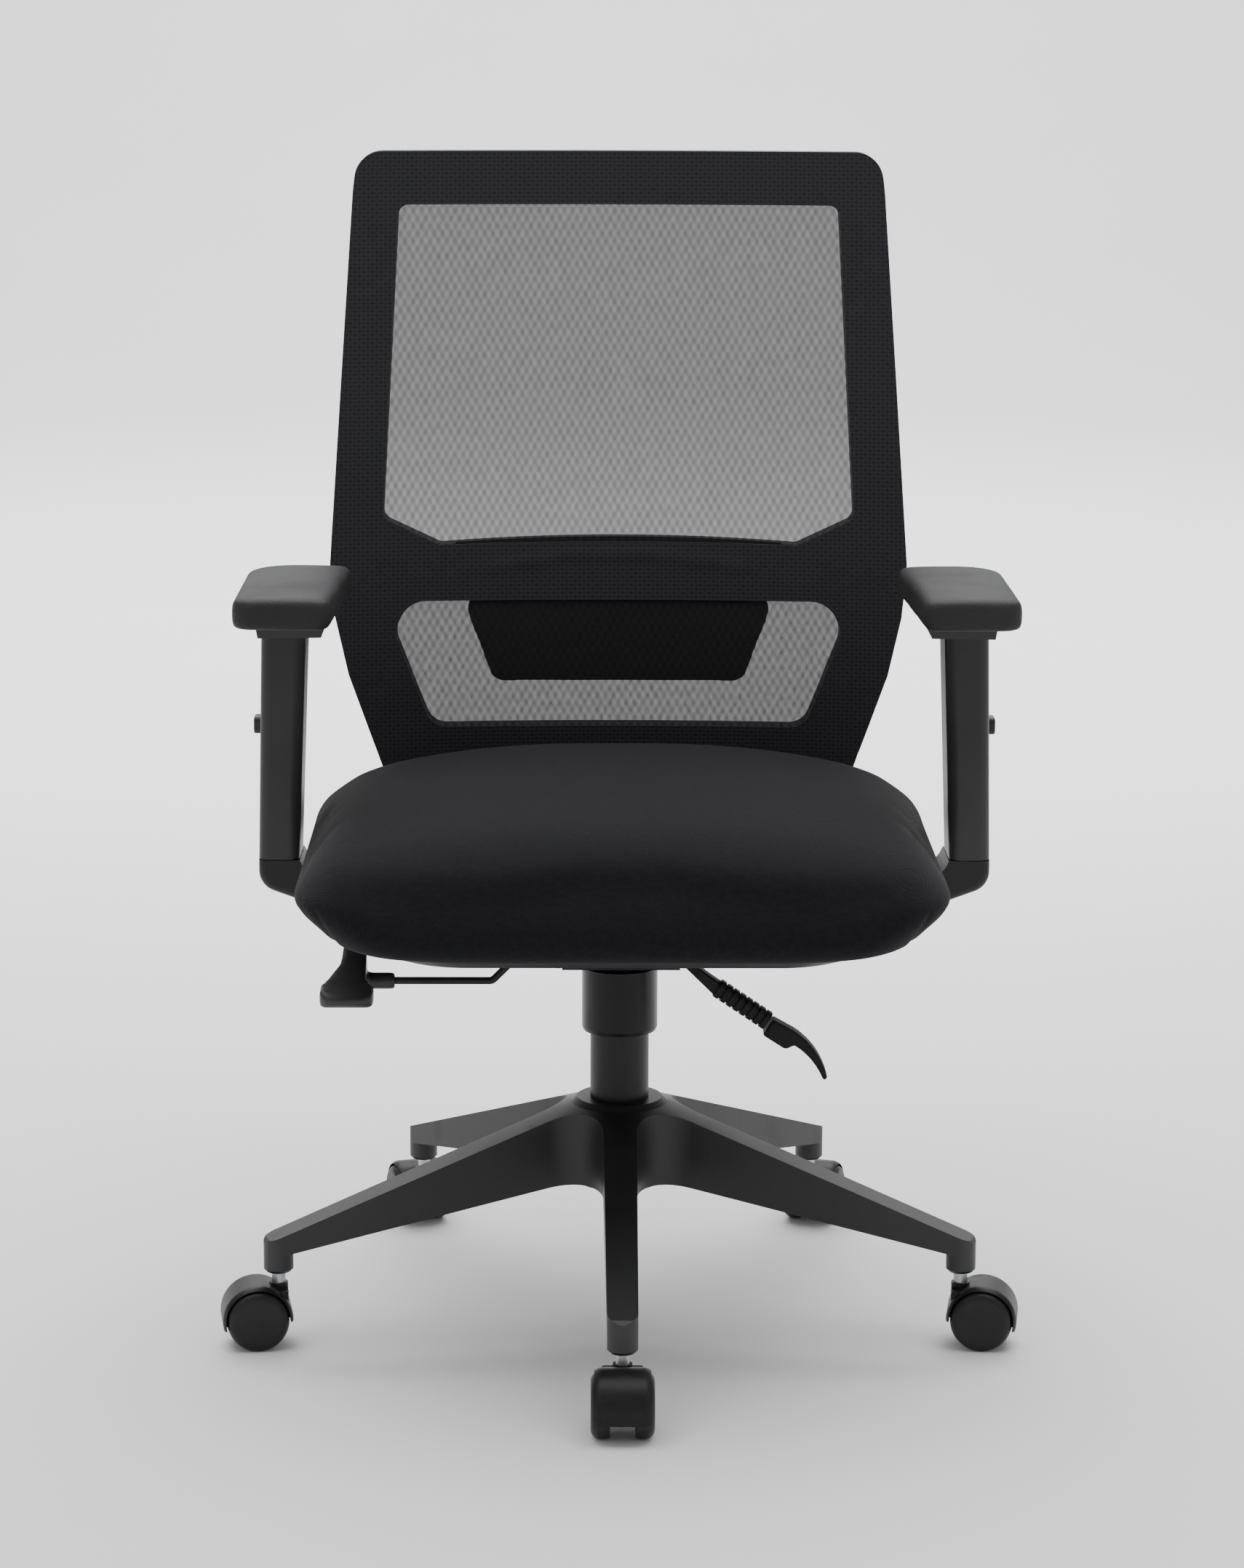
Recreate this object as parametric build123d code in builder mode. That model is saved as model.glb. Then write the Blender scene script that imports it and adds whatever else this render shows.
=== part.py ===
"""Swivel office chair on casters: one STEP file per separate piece, in millimetres.

The column axis is the Z axis, the floor is Z = 0 and the chair faces -Y, so +X is on the left of a
person who sits in it. Everything is drawn in place at rest.
"""

import os

from build123d import *

os.makedirs("parts", exist_ok=True)

# Star base
LEG_ANGLES = {"front": 270, "right": 342, "rear_right": 54, "rear_left": 126, "left": 198}
SOCKET_CIRCLE_R = 290
SOCKET_R = 12
SOCKET_BOTTOM = 61
SOCKET_BORE_R = 6.5
HUB_BOTTOM = 111
HUB_TOP = 183
LEG_TOP_SLOPE = 0.35

# Casters: the wheels trail behind the stem in these directions
TRAIL_ANGLES = {"front": 270, "right": 352, "rear_right": 72, "rear_left": 108, "left": 188}
STEM_R = 5.5
WHEEL_R = 25
WHEEL_WIDTH = 14.6
WHEEL_GAP = 19.5
TRAIL = 18
HOOD_R = 28.5
HOOD_INNER_R = 26

# Gas column
TUBE_R = 24
TUBE_TOP = 262
CYLINDER_R = 14
CYLINDER_BOTTOM = 150
CYLINDER_TOP = 322
COVER_R = 31
COVER_BOTTOM = 240

# Mechanism
HOUSING_HALF = 47
HOUSING_BOTTOM = 293
FRONT_AXLE = (-75, 320)
RECLINE_AXLE = (48, 309)
AXLE_R = 5

# Seat
PLATE_BOTTOM = 338.5
SHELL_BOTTOM = 342.5
BOARD_BOTTOM = 349
BOARD_TOP = 360

# Arms
ARM_Y = 60
RIGHT_ARM_OUT = 6
LEFT_ARM_IN = 2
SEAM_Z = 374
SLEEVE_TOP = 574
PAD_BOTTOM = 586
PAD_TOP = 610
BUTTON_Z = 483

# Back
FRAME_FRONT = 2.4
FRAME_REAR = 26
MESH_THICKNESS = 1.8
CROSSBAR_Z = (562, 611)
STUD_Z = 586
STUD_X = 60


def lathe(*points):
    """A solid turned about the Z axis from a closed outline of (radius, height) points."""
    with BuildPart() as turned:
        with BuildSketch(Plane.XZ):
            with BuildLine():
                Polyline(*points, close=True)
            make_face()
        revolve(axis=Axis.Z)
    return turned.part


def back_layer(front, rear):
    """A double-curved layer of the back, from front to rear millimetres behind its front surface."""
    profile = ((365, 213), (450, 212), (520, 216), (590, 226), (700, 248), (820, 275), (955, 306))
    with BuildPart() as layer:
        for x in (-260, -130, 0, 130, 260):
            wrap = -20 * (x / 240) ** 2
            with BuildSketch(Plane.YZ.offset(x)):
                with BuildLine():
                    ahead = Spline(*((y + wrap + front, z) for z, y in profile))
                    behind = Spline(*((y + wrap + rear, z) for z, y in profile))
                    Line(ahead @ 0, behind @ 0)
                    Line(ahead @ 1, behind @ 1)
                make_face()
        loft()
    return layer.part


def back_outline():
    """The outline of the whole back seen from the front, as a face on the XZ plane."""
    right = ((0, 940), (224.5, 940), (228, 905), (246.5, 592), (242, 550), (230.5, 500), (201, 417), (184, 374))
    left = [(-x, z) for x, z in reversed(right) if x]
    with BuildSketch(Plane.XZ) as outline:
        with BuildLine():
            Polyline(*right, *left, close=True)
        make_face()
        corners = outline.vertices().filter_by(lambda v: v.Y > 930 and abs(v.X) > 200)
        fillet(corners, radius=24)
        fillet(outline.vertices().filter_by(lambda v: v.Y < 380), radius=28)
        fillet(outline.vertices().filter_by(lambda v: 560 < v.Y < 600), radius=60)
    return outline.sketch


# --- Star base ---------------------------------------------------------------------------------

with BuildSketch() as leg_plan:
    with BuildLine():
        Polyline((0, -14), (SOCKET_CIRCLE_R, -SOCKET_R), (SOCKET_CIRCLE_R, SOCKET_R), (0, 14), close=True)
    make_face()
    with Locations((SOCKET_CIRCLE_R, 0)):
        Circle(SOCKET_R)

with BuildSketch() as pocket_plan:
    for start in (62, 124, 190):
        with BuildLine():
            Polyline((start, -10), (start + 58, -9), (start + 58, 9), (start, 10), close=True)
        make_face()

with BuildPart() as leg_pockets:
    with BuildSketch():
        with PolarLocations(0, 5, start_angle=270):
            add(pocket_plan.sketch)
    extrude(amount=200)
    add(
        lathe((40, 60), (280, 60), (280, HUB_TOP - 7 - LEG_TOP_SLOPE * 245), (40, HUB_TOP - 10)),
        mode=Mode.INTERSECT,
    )

with BuildPart() as star_base:
    with BuildSketch() as plan:
        with PolarLocations(0, 5, start_angle=270):
            add(leg_plan.sketch)
        webs = plan.vertices().filter_by(lambda v: 20 < (v.X**2 + v.Y**2) ** 0.5 < 30)
        fillet(webs, radius=34)
    extrude(amount=200)
    add(
        lathe(
            (0, HUB_BOTTOM), (34, HUB_BOTTOM), (38, 118), (302, 74),
            (302, 86), (299, 89), (40, 179), (35, HUB_TOP), (0, HUB_TOP),
        ),
        mode=Mode.INTERSECT,
    )
    with PolarLocations(SOCKET_CIRCLE_R, 5, start_angle=270):
        add(lathe((0, SOCKET_BOTTOM), (9.5, SOCKET_BOTTOM), (SOCKET_R, 63.5), (SOCKET_R, 86), (0, 86)))
    add(lathe((0, HUB_BOTTOM), (34, HUB_BOTTOM), (36, 114), (36, 176), (33, HUB_TOP), (0, HUB_TOP)))
    add(leg_pockets.part, mode=Mode.SUBTRACT)
    with PolarLocations(SOCKET_CIRCLE_R, 5, start_angle=270):
        add(lathe((0, 60), (SOCKET_BORE_R, 60), (SOCKET_BORE_R, 86), (0, 86)), mode=Mode.SUBTRACT)
    add(lathe((0, 100), (TUBE_R, 100), (TUBE_R, 190), (0, 190)), mode=Mode.SUBTRACT)
star_base.part.label = "star_base"

with BuildPart() as socket_rings:
    with PolarLocations(SOCKET_CIRCLE_R, 5, start_angle=270):
        add(lathe((STEM_R + 0.05, 61.5), (SOCKET_BORE_R, 61.5), (SOCKET_BORE_R, 84), (STEM_R + 0.05, 84)))
socket_rings.part.label = "socket_rings"

# --- Gas column --------------------------------------------------------------------------------

with BuildPart() as gas_tube:
    add(lathe((5.05, 113), (TUBE_R, 113), (TUBE_R, TUBE_TOP), (22, TUBE_TOP), (22, 118), (5.05, 118)))
gas_tube.part.label = "gas_tube"

with BuildPart() as guide_bushing:
    add(lathe((CYLINDER_R + 0.05, 190), (22, 190), (22, TUBE_TOP), (CYLINDER_R + 0.05, TUBE_TOP)))
guide_bushing.part.label = "guide_bushing"

with BuildPart() as thrust_bearing:
    add(lathe((5.05, 118), (14, 118), (14, 123), (5.05, 123)))
thrust_bearing.part.label = "thrust_bearing"

with BuildPart() as piston_rod:
    add(
        lathe(
            (0, 110), (4, 110), (4, 112.8), (5, 112.8), (5, 123.2), (7, 123.2), (7, 125),
            (4, 125), (4, 236), (11.4, 236), (11.4, 248), (0, 248),
        )
    )
piston_rod.part.label = "piston_rod"

with BuildPart() as rod_clip:
    add(lathe((4, 111), (9, 111), (9, 112.8), (4, 112.8)))
rod_clip.part.label = "rod_clip"

with BuildPart() as gas_cylinder:
    add(
        lathe(
            (4.05, CYLINDER_BOTTOM), (CYLINDER_R, CYLINDER_BOTTOM), (CYLINDER_R, CYLINDER_TOP),
            (4, CYLINDER_TOP), (4, CYLINDER_TOP + 5), (0, CYLINDER_TOP + 5), (0, 300),
            (11.5, 300), (11.5, 159), (4.05, 159),
        )
    )
gas_cylinder.part.label = "gas_cylinder"

with BuildPart() as column_cover:
    add(
        lathe(
            (28.2, COVER_BOTTOM), (29.8, COVER_BOTTOM), (COVER_R, 243), (COVER_R, HOUSING_BOTTOM),
            (CYLINDER_R, HOUSING_BOTTOM), (CYLINDER_R, 290), (28.2, 290),
        )
    )
column_cover.part.label = "column_cover"

# --- Mechanism ---------------------------------------------------------------------------------

with BuildPart() as mechanism_housing:
    with BuildSketch(Plane.YZ):
        with BuildLine():
            Polyline((-100, 317), (-94, 312), (-10, 293), (70, 293), (76, 299), (76, 318), (-100, 334), close=True)
        make_face()
    extrude(amount=HOUSING_HALF, both=True)
    fillet(mechanism_housing.edges().filter_by(Axis.Z), radius=4)
    with BuildSketch(Plane.YZ):
        with BuildLine():
            Polyline((-95, 318), (-92, 316.5), (-10, 298), (69, 298), (71, 300), (71, 345), (-95, 345), close=True)
        make_face()
    extrude(amount=HOUSING_HALF - 5, both=True, mode=Mode.SUBTRACT)
    add(lathe((CYLINDER_R, 293), (21, 293), (21, 318), (CYLINDER_R, 318)))
    add(lathe((0, 280), (CYLINDER_R, 280), (CYLINDER_R, 330), (0, 330)), mode=Mode.SUBTRACT)
    with BuildSketch(Plane.YZ):
        with Locations(FRONT_AXLE, RECLINE_AXLE):
            Circle(AXLE_R)
    extrude(amount=80, both=True, mode=Mode.SUBTRACT)
    with BuildSketch(Plane.YZ):
        with Locations((-50, 314)):
            Circle(5.2)
    extrude(amount=-60, mode=Mode.SUBTRACT)
    with BuildSketch(Plane.YZ):
        with Locations((-42, 310.5)):
            Rectangle(20, 9.6)
    extrude(amount=60, mode=Mode.SUBTRACT)
mechanism_housing.part.label = "mechanism_housing"

with BuildPart() as mechanism_axles:
    with BuildSketch(Plane.YZ):
        with Locations(FRONT_AXLE):
            Circle(AXLE_R)
    extrude(amount=55, both=True)
    with BuildSketch(Plane.YZ):
        with Locations(RECLINE_AXLE):
            Circle(AXLE_R)
    extrude(amount=61, both=True)
mechanism_axles.part.label = "mechanism_axles"

with BuildPart() as tilt_spring:
    with BuildSketch(Plane.YZ):
        with Locations(RECLINE_AXLE):
            Circle(9.5)
            Circle(AXLE_R + 1, mode=Mode.SUBTRACT)
    extrude(amount=38, both=True)
tilt_spring.part.label = "tilt_spring"

# --- Levers ------------------------------------------------------------------------------------

with BuildPart() as height_lever_rod:
    with BuildLine() as lever_path:
        bends = Polyline((-40, -50, 314), (-82, -50, 314), (-103.5, -50, 292.5), (-186, -50, 292.5))
        fillet(bends.vertices().filter_by(lambda v: -110 < v.X < -70), radius=6)
    with BuildSketch(Plane(origin=(-40, -50, 314), z_dir=(-1, 0, 0))):
        Circle(3)
    sweep()
height_lever_rod.part.label = "height_lever_rod"

with BuildPart() as height_lever_paddle:
    with BuildSketch(Plane.YZ.offset(-216)) as blade_side:
        with BuildLine():
            Polyline(
                (-105, 283), (-112, 288), (-112, 293), (-104, 297), (-80, 299), (-48, 313),
                (-24, 330), (-20, 326), (-44, 303), (-72, 287), close=True,
            )
        make_face()
        fillet(blade_side.vertices().filter_by(lambda v: -50 < v.X < -40), radius=12)
    extrude(amount=30, both=True)
    with BuildSketch() as blade_plan:
        with BuildLine():
            Polyline(
                (-240, -112), (-197, -112), (-197, -88), (-204, -72), (-205, -15), (-222, -15),
                (-226, -56), (-240, -84), close=True,
            )
        make_face()
        fillet(blade_plan.vertices().filter_by(lambda v: v.Y < -100), radius=12)
    extrude(amount=400, mode=Mode.INTERSECT)
    with BuildSketch(Plane.YZ.offset(-219)):
        with Locations((-50, 292.5)):
            Circle(7)
    extrude(amount=38)
    with BuildSketch(Plane.YZ.offset(-186)):
        with Locations((-50, 292.5)):
            Circle(3)
    extrude(amount=10, mode=Mode.SUBTRACT)
height_lever_paddle.part.label = "height_lever_paddle"

NECK = Plane(origin=(77, -42, 286), x_dir=(0, 1, 0), z_dir=(0.828, 0, -0.561))

with BuildPart() as lock_lever_neck:
    for across, height, thick in ((40, 310.5, 7.2), (49, 309.8, 7.2), (56, 303.5, 8.5)):
        with BuildSketch(Plane.YZ.offset(across)):
            with Locations((-42, height)):
                RectangleRounded(15, thick, radius=2)
    with BuildSketch(NECK):
        RectangleRounded(14, 11, radius=2)
    loft(ruled=True)
    for rib in range(8):
        with BuildSketch(NECK.offset(rib * 6.4)):
            RectangleRounded(13, 12, radius=4)
        extrude(amount=2.2)
        with BuildSketch(NECK.offset(rib * 6.4 + 2.2)):
            RectangleRounded(16, 15, radius=5)
        extrude(amount=4.2)
lock_lever_neck.part.label = "lock_lever_neck"

with BuildPart() as lock_lever_grip:
    with BuildSketch(Plane.XZ.offset(33)) as grip_side:
        with BuildLine():
            Polyline((115.2, 247.1), (124, 260), (141.5, 250.1), close=False)
            Spline((141.5, 250.1), (157.5, 235), (168.5, 211))
            Polyline((168.5, 211), (165, 209), close=False)
            Spline((165, 209), (152.5, 229), (141, 238.5))
            Polyline((141, 238.5), (134, 235), (115.2, 247.1), close=False)
        make_face()
    extrude(amount=18)
    fillet(lock_lever_grip.edges().filter_by(GeomType.LINE).filter_by(Axis.Y), radius=1)
lock_lever_grip.part.label = "lock_lever_grip"

# --- Seat --------------------------------------------------------------------------------------

with BuildPart() as seat_plate:
    with BuildSketch(Plane.XY.offset(PLATE_BOTTOM)):
        RectangleRounded(200, 250, radius=12)
    extrude(amount=4)
    for side in (-1, 1):
        with BuildSketch(Plane.YZ.offset(side * 50.6)):
            with BuildLine():
                Polyline((-92, PLATE_BOTTOM), (-58, PLATE_BOTTOM), (-66, 311), (-84, 311), close=True)
            make_face()
            with Locations(FRONT_AXLE):
                Circle(AXLE_R + 0.05, mode=Mode.SUBTRACT)
        extrude(amount=2.4, both=True)
seat_plate.part.label = "seat_plate"

with BuildPart() as seat_shell:
    with BuildSketch(Plane.XY.offset(SHELL_BOTTOM)):
        with Locations((0, -26)):
            RectangleRounded(360, 372, radius=60)
    with BuildSketch(Plane.XY.offset(BOARD_BOTTOM)):
        with Locations((0, -26)):
            RectangleRounded(404, 392, radius=68)
    loft()
seat_shell.part.label = "seat_shell"

with BuildPart() as seat_board:
    with BuildSketch(Plane.XY.offset(BOARD_BOTTOM)):
        with Locations((0, -26)):
            RectangleRounded(400, 388, radius=66)
    extrude(amount=BOARD_TOP - BOARD_BOTTOM)
seat_board.part.label = "seat_board"

with BuildPart() as seat_cushion:
    for height, inset, corner in ((352, 14, 66), (372, 0, 80), (415, 12, 70), (452, 42, 45)):
        with BuildSketch(Plane.XY.offset(height)):
            with Locations((0, -33)):
                RectangleRounded(512 - 2 * inset, 458 - 1.4 * inset, radius=corner)
    loft()
    with BuildSketch(Plane.YZ):
        with BuildLine():
            Line((204, 330), (-240, 330))
            Line((-240, 330), (-242, 348))
            Spline(
                (-242, 348), (-262, 366), (-250, 400), (-210, 432), (-140, 446),
                (-40, 450), (80, 449), (150, 443), (186, 426), (200, 398),
            )
            Line((200, 398), (204, 330))
        make_face()
    extrude(amount=300, both=True, mode=Mode.INTERSECT)
    with BuildSketch(Plane.XY.offset(330)):
        with Locations((0, -26)):
            RectangleRounded(400, 388, radius=66)
    extrude(amount=BOARD_TOP - 330, mode=Mode.SUBTRACT)
seat_cushion.part.label = "seat_cushion"

# --- Back --------------------------------------------------------------------------------------

with BuildPart() as back_bracket:
    with BuildSketch(Plane.YZ) as bracket_side:
        with BuildLine():
            Polyline((88, 298), (262, 298), (262, 446), (240, 446), (240, 320), (88, 320), close=True)
        make_face()
        fillet(bracket_side.vertices().filter_by(lambda v: v.X > 261 and v.Y < 300), radius=30)
        fillet(bracket_side.vertices().filter_by(lambda v: 239 < v.X < 241 and v.Y < 330), radius=14)
    extrude(amount=35, both=True)
    with BuildSketch(Plane.YZ):
        with BuildLine():
            Polyline((88, 298), (112, 298), (112, 320), (88, 320), close=True)
        make_face()
    extrude(amount=58, both=True)
    for side in (-1, 1):
        with BuildSketch(Plane.YZ.offset(side * 53)):
            with BuildLine():
                Polyline((48, 297), (112, 298), (112, 320), (48, 321), close=True)
            make_face()
            with Locations(RECLINE_AXLE):
                Circle(12)
                Circle(AXLE_R + 0.05, mode=Mode.SUBTRACT)
        extrude(amount=5, both=True)
    with BuildSketch(Plane.XZ.offset(-262)):
        with Locations((-20, 396), (20, 396), (-20, 430), (20, 430)):
            Circle(4)
    extrude(amount=30, mode=Mode.SUBTRACT)
back_bracket.part.label = "back_bracket"

with BuildPart() as back_frame:
    with BuildSketch(Plane.XZ) as ring:
        add(back_outline())
        with BuildLine():
            ThreePointArc((-153, 609), (0, 614), (153, 609))
            Polyline((153, 609), (201.5, 632), (189, 895), (-189, 895), (-201.5, 632), (-153, 609), close=False)
        make_face(mode=Mode.SUBTRACT)
        with BuildLine():
            Polyline((-180, 562), (180, 562), (192, 536), (160, 454), (-160, 454), (-192, 536), close=True)
        make_face(mode=Mode.SUBTRACT)
        tight = ring.vertices().filter_by(lambda v: 600 < v.Y < 900 and abs(v.X) < 202)
        fillet(tight, radius=9)
        fillet(ring.vertices().filter_by(lambda v: 530 < v.Y < 565 and abs(v.X) < 193), radius=22)
        fillet(ring.vertices().filter_by(lambda v: 450 < v.Y < 460 and abs(v.X) < 170), radius=18)
    extrude(amount=-400)
    add(back_layer(FRAME_FRONT, FRAME_REAR), mode=Mode.INTERSECT)
    with BuildSketch(Plane.XZ.offset(-240)):
        with Locations((0, 413)):
            RectangleRounded(90, 62, radius=8)
    extrude(amount=14)
    with BuildSketch(Plane.XZ) as pad_pocket:
        with Locations((0, 594)):
            Rectangle(280, 68)
    pocket = extrude(amount=-400, mode=Mode.PRIVATE)
    add(pocket.intersect(back_layer(0, 13.4)), mode=Mode.SUBTRACT)
    with BuildSketch(Plane.XZ):
        with Locations((-STUD_X, STUD_Z - 0.5), (STUD_X, STUD_Z - 0.5)):
            SlotOverall(38, 8.8, rotation=90)
    extrude(amount=-400, mode=Mode.SUBTRACT)
    with BuildSketch(Plane.XZ.offset(-240)):
        with Locations((-20, 396), (20, 396), (-20, 430), (20, 430)):
            Circle(4)
    extrude(amount=12, mode=Mode.SUBTRACT)
    rear = max(back_frame.faces(), key=lambda face: face.area if face.normal_at().Y > 0.5 else 0)
    fillet(rear.outer_wire().edges(), radius=5)
back_frame.part.label = "back_frame"

with BuildPart() as back_bolts:
    with BuildSketch(Plane.XZ.offset(-267)):
        with Locations((-20, 396), (20, 396), (-20, 430), (20, 430)):
            Circle(7)
    extrude(amount=5)
    with BuildSketch(Plane.XZ.offset(-267)):
        with Locations((-20, 396), (20, 396), (-20, 430), (20, 430)):
            Circle(4)
    extrude(amount=38)
back_bolts.part.label = "back_bolts"

with BuildPart() as back_mesh:
    with BuildSketch(Plane.XZ):
        add(back_outline())
    extrude(amount=-400)
    add(back_layer(0, MESH_THICKNESS), mode=Mode.INTERSECT)
back_mesh.part.label = "back_mesh"

with BuildPart() as lumbar_pad:
    with BuildSketch(Plane.XZ) as pad_face:
        with BuildLine():
            Polyline((-124, 590), (-130, 552), (-107, 492), (107, 492), (130, 552), (124, 590), close=False)
            ThreePointArc((124, 590), (0, 601), (-124, 590))
        make_face()
        fillet(pad_face.vertices(), radius=12)
    extrude(amount=-400)
    add(back_layer(4.4, 11.4), mode=Mode.INTERSECT)
lumbar_pad.part.label = "lumbar_pad"

with BuildPart() as lumbar_guides:
    with BuildSketch(Plane.XZ.offset(-237)):
        with Locations((-STUD_X, STUD_Z), (STUD_X, STUD_Z)):
            Circle(4.2)
    extrude(amount=-18)
    with BuildSketch(Plane.XZ.offset(-253)):
        with Locations((-STUD_X, STUD_Z), (STUD_X, STUD_Z)):
            Circle(9)
    extrude(amount=-3)
lumbar_guides.part.label = "lumbar_guides"

# --- Arms: drawn on the +X side, and mirrored for the other ------------------------------------

with BuildPart() as arm_bracket:
    with BuildSketch(Plane.XZ.offset(-ARM_Y)) as bracket_front:
        with BuildLine():
            Polyline(
                (105, 318), (238, 318), (262, 338.5), (299, 352), (299, SEAM_Z), (265, SEAM_Z),
                (262, 368), (240, SHELL_BOTTOM - 0.2), (105, SHELL_BOTTOM - 0.2), close=True,
            )
        make_face()
        fillet(bracket_front.vertices().filter_by(lambda v: v.X > 298 and v.Y < 360), radius=18)
        fillet(bracket_front.vertices().filter_by(lambda v: 237 < v.X < 239 or 261 < v.X < 263), radius=10)
    extrude(amount=30, both=True)
    fillet(arm_bracket.edges().filter_by(Axis.Z), radius=6)
    with BuildSketch(Plane.XY.offset(SEAM_Z - 2)):
        with Locations((280, ARM_Y)):
            RectangleRounded(20, 36, radius=3)
    extrude(amount=520 - SEAM_Z + 2)

with BuildPart() as arm_sleeve:
    for height, low, high, deep in ((SEAM_Z + 0.6, 265.5, 299, 60), (SLEEVE_TOP, 258, 294.5, 64)):
        with BuildSketch(Plane.XY.offset(height)):
            with Locations(((low + high) / 2, ARM_Y)):
                RectangleRounded(high - low, deep, radius=9)
    loft()
    with BuildSketch(Plane.XY.offset(SLEEVE_TOP)):
        with BuildLine():
            Polyline((240, -60), (290, -64), (294, 74), (240, 80), close=True)
        make_face()
    extrude(amount=PAD_BOTTOM - SLEEVE_TOP, taper=-10)
    with BuildSketch(Plane.XY.offset(SEAM_Z)):
        with Locations((280, ARM_Y)):
            RectangleRounded(20.2, 36.2, radius=3)
    extrude(amount=535 - SEAM_Z, mode=Mode.SUBTRACT)
    with BuildSketch(Plane.YZ.offset(286)):
        with Locations((ARM_Y, BUTTON_Z)):
            RectangleRounded(20.6, 14.6, radius=4.3)
    extrude(amount=30, mode=Mode.SUBTRACT)

with BuildPart() as arm_button:
    with BuildSketch(Plane.YZ.offset(294)):
        with Locations((ARM_Y, BUTTON_Z)):
            RectangleRounded(20, 14, radius=4)
    extrude(amount=9)
    fillet(arm_button.faces().sort_by(Axis.X)[-1].edges(), radius=1.5)

with BuildPart() as arm_pad:
    with BuildSketch(Plane.XY.offset(PAD_BOTTOM)) as pad_plan:
        with BuildLine():
            Polyline((308, -104), (231, -106), (223, 96), (308, 96), close=True)
        make_face()
        fillet(pad_plan.vertices().filter_by(lambda v: v.Y > 90 and v.X > 260), radius=36)
        fillet(pad_plan.vertices().filter_by(lambda v: v.Y < -50 and v.X > 260), radius=15)
        fillet(pad_plan.vertices().filter_by(lambda v: v.X < 240), radius=11)
    extrude(amount=PAD_TOP - PAD_BOTTOM)
    fillet(arm_pad.faces().sort_by(Axis.Z)[-1].edges(), radius=6)
    fillet(arm_pad.faces().sort_by(Axis.Z)[0].edges(), radius=5)

# --- Casters: drawn with the stem on the Z axis, trailing along +X ------------------------------

with BuildPart() as caster_stem:
    add(lathe((0, 36), (STEM_R, 36), (STEM_R, 84), (4.5, 85.5), (0, 85.5)))

with BuildPart() as caster_hood:
    with BuildSketch(Plane.XZ):
        with Locations((TRAIL, WHEEL_R)):
            Circle(HOOD_R)
    extrude(amount=24.5, both=True)
    fillet(caster_hood.edges().filter_by(GeomType.CIRCLE), radius=9)
    with BuildSketch(Plane.XZ) as skirt:
        with BuildLine():
            Polyline((TRAIL, WHEEL_R), (-20, 23.5), (-20, 60), (60, 60), (60, 14), (TRAIL + 20, 19), close=True)
        make_face()
    extrude(amount=30, both=True, mode=Mode.INTERSECT)
    with BuildSketch(Plane.XY.offset(34)):
        RectangleRounded(14, 32, radius=3)
    extrude(amount=14)
    with BuildSketch(Plane.XY.offset(46)):
        Circle(7.5)
    extrude(amount=6)
    for side in (-1, 1):
        with BuildSketch(Plane.XZ.offset(side * 9.25)):
            with Locations((TRAIL, WHEEL_R)):
                Circle(HOOD_INNER_R)
        extrude(amount=side * 20, mode=Mode.SUBTRACT)
    with BuildSketch(Plane.XZ):
        with Locations((TRAIL, WHEEL_R)):
            Circle(6.5)
    extrude(amount=9.25, both=True)
    with BuildSketch(Plane.XZ):
        with Locations((TRAIL, WHEEL_R)):
            Circle(3)
    extrude(amount=30, both=True, mode=Mode.SUBTRACT)
    add(lathe((0, 36), (STEM_R, 36), (STEM_R, 70), (0, 70)), mode=Mode.SUBTRACT)

with BuildPart() as caster_axle:
    with BuildSketch(Plane.XZ):
        with Locations((TRAIL, WHEEL_R)):
            Circle(3)
    extrude(amount=20, both=True)

with BuildPart() as caster_wheel:
    with BuildSketch(Plane.XZ.offset(WHEEL_GAP / 2)):
        with Locations((TRAIL, WHEEL_R)):
            Circle(WHEEL_R)
    extrude(amount=WHEEL_WIDTH)
    fillet(caster_wheel.edges().filter_by(GeomType.CIRCLE).sort_by(Axis.Y)[0], radius=6.5)
    fillet(caster_wheel.edges().filter_by(GeomType.CIRCLE).sort_by(Axis.Y)[-1], radius=1)
    with BuildSketch(Plane.XZ.offset(WHEEL_GAP / 2 - 1)):
        with Locations((TRAIL, WHEEL_R)):
            Circle(3.05)
    extrude(amount=12, mode=Mode.SUBTRACT)

# --- Files -------------------------------------------------------------------------------------

for piece in (
    star_base, socket_rings, gas_tube, guide_bushing, thrust_bearing, piston_rod, rod_clip,
    gas_cylinder, column_cover, mechanism_housing, mechanism_axles, tilt_spring,
    height_lever_rod, height_lever_paddle, lock_lever_neck, lock_lever_grip,
    seat_plate, seat_shell, seat_board, seat_cushion,
    back_bracket, back_frame, back_bolts, back_mesh, lumbar_pad, lumbar_guides,
):
    export_step(piece.part, f"parts/{piece.part.label}.step")

for name, piece in (("bracket", arm_bracket), ("sleeve", arm_sleeve), ("button", arm_button), ("pad", arm_pad)):
    for side, placed in (
        ("right", piece.part.moved(Location((RIGHT_ARM_OUT, 0, 0)))),
        ("left", piece.part.mirror(Plane.YZ).moved(Location((LEFT_ARM_IN, 0, 0)))),
    ):
        placed.label = f"arm_{name}_{side}"
        export_step(placed, f"parts/{placed.label}.step")

for place, angle in LEG_ANGLES.items():
    socket = Location((0, 0, 0), (0, 0, angle)) * Location((SOCKET_CIRCLE_R, 0, 0))
    turned = Location(socket.position, (0, 0, TRAIL_ANGLES[place]))
    for name, piece in (
        ("stem", caster_stem.part), ("hood", caster_hood.part), ("axle", caster_axle.part),
        ("wheel_a", caster_wheel.part), ("wheel_b", caster_wheel.part.mirror(Plane.XZ)),
    ):
        placed = piece.moved(turned)
        placed.label = f"{place}_caster_{name}"
        export_step(placed, f"parts/{placed.label}.step")
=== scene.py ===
import logging
import math
from dataclasses import dataclass, field
from enum import Enum

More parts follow.
